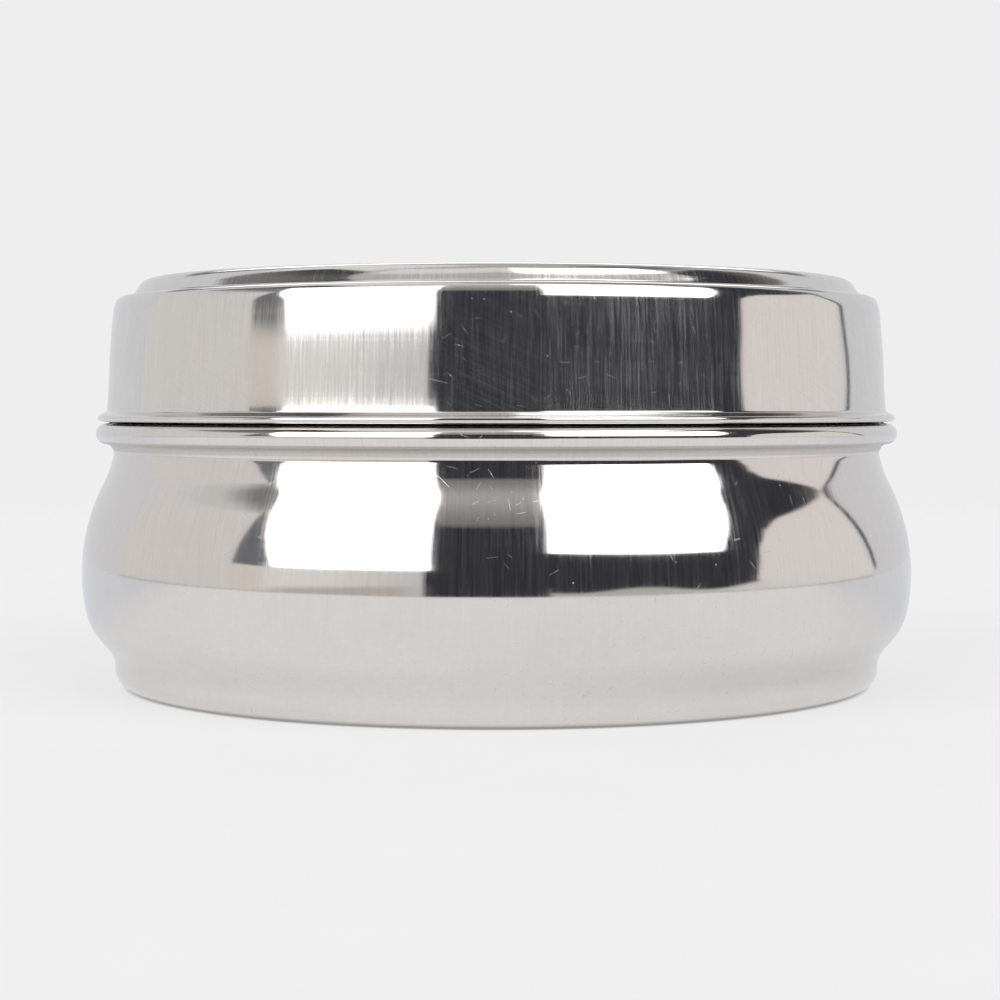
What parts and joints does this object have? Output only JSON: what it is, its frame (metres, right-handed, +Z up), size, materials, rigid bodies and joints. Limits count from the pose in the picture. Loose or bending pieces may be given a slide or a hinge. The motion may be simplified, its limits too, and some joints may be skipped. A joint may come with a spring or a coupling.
{
  "type": "spice box",
  "caption": "Round belly-shaped steel spice box with a push-on lid, loose spice bowls, a knobbed inner lid and small spoons, for keeping ground spices at hand.",
  "frame": {"origin": "centre of the pot's base, on the table", "axes": "+Z up, along the axis of the pot and the lid; +X towards one outer bowl and along the spoons"},
  "size_m": [0.2, 0.2, 0.0967],
  "materials": {
    "pot": "mirror-polished stainless steel with fine wiping scratches",
    "outer_lid": "polished stainless steel, wall with fine upright draw lines",
    "bowl": "polished stainless steel, slightly duller than the outside",
    "inner_lid": "polished stainless steel",
    "knob": "turned and polished stainless steel",
    "rivet": "plain stainless steel",
    "spoon": "polished stainless steel"
  },
  "bodies": {
    "pot": {"pot": "pot"},
    "bowl_center": {"bowl_center": "bowl"},
    "bowl_1": {"bowl_1": "bowl"},
    "bowl_2": {"bowl_2": "bowl"},
    "bowl_3": {"bowl_3": "bowl"},
    "bowl_4": {"bowl_4": "bowl"},
    "bowl_5": {"bowl_5": "bowl"},
    "bowl_6": {"bowl_6": "bowl"},
    "inner_lid": {"inner_lid": "inner_lid", "inner_lid_knob": "knob", "knob_rivet": "rivet"},
    "spoon_1": {"spoon_1": "spoon"},
    "spoon_2": {"spoon_2": "spoon"},
    "outer_lid": {"outer_lid": "outer_lid"}
  },
  "joints": [
    {"name": "bowls_lift", "type": "slide", "parent": "pot", "child": "bowl_center", "axis": [0, 0, 1], "range_m": [0, 0.09]},
    {"name": "bowl_1_lift", "type": "slide", "parent": "pot", "child": "bowl_1", "axis": [0, 0, 1], "range_m": [0, 0.09]},
    {"name": "bowl_2_lift", "type": "slide", "parent": "pot", "child": "bowl_2", "axis": [0, 0, 1], "range_m": [0, 0.09]},
    {"name": "bowl_3_lift", "type": "slide", "parent": "pot", "child": "bowl_3", "axis": [0, 0, 1], "range_m": [0, 0.09]},
    {"name": "bowl_4_lift", "type": "slide", "parent": "pot", "child": "bowl_4", "axis": [0, 0, 1], "range_m": [0, 0.09]},
    {"name": "bowl_5_lift", "type": "slide", "parent": "pot", "child": "bowl_5", "axis": [0, 0, 1], "range_m": [0, 0.09]},
    {"name": "bowl_6_lift", "type": "slide", "parent": "pot", "child": "bowl_6", "axis": [0, 0, 1], "range_m": [0, 0.09]},
    {"name": "inner_lid_lift", "type": "slide", "parent": "bowl_center", "child": "inner_lid", "axis": [0, 0, 1], "range_m": [0, 0.042]},
    {"name": "spoon_1_lift", "type": "slide", "parent": "inner_lid", "child": "spoon_1", "axis": [0, 0, 1], "range_m": [0, 0.04]},
    {"name": "spoon_2_lift", "type": "slide", "parent": "inner_lid", "child": "spoon_2", "axis": [0, 0, 1], "range_m": [0, 0.04]},
    {"name": "outer_lid_lift", "type": "slide", "parent": "spoon_1", "child": "outer_lid", "axis": [0, 0, 1], "range_m": [0, 0.04]}
  ],
  "couplings": [
    {"joint": "bowl_1_lift", "follows": "bowls_lift", "ratio": 1},
    {"joint": "bowl_2_lift", "follows": "bowls_lift", "ratio": 1},
    {"joint": "bowl_3_lift", "follows": "bowls_lift", "ratio": 1},
    {"joint": "bowl_4_lift", "follows": "bowls_lift", "ratio": 1},
    {"joint": "bowl_5_lift", "follows": "bowls_lift", "ratio": 1},
    {"joint": "bowl_6_lift", "follows": "bowls_lift", "ratio": 1},
    {"joint": "spoon_2_lift", "follows": "spoon_1_lift", "ratio": 1}
  ]
}
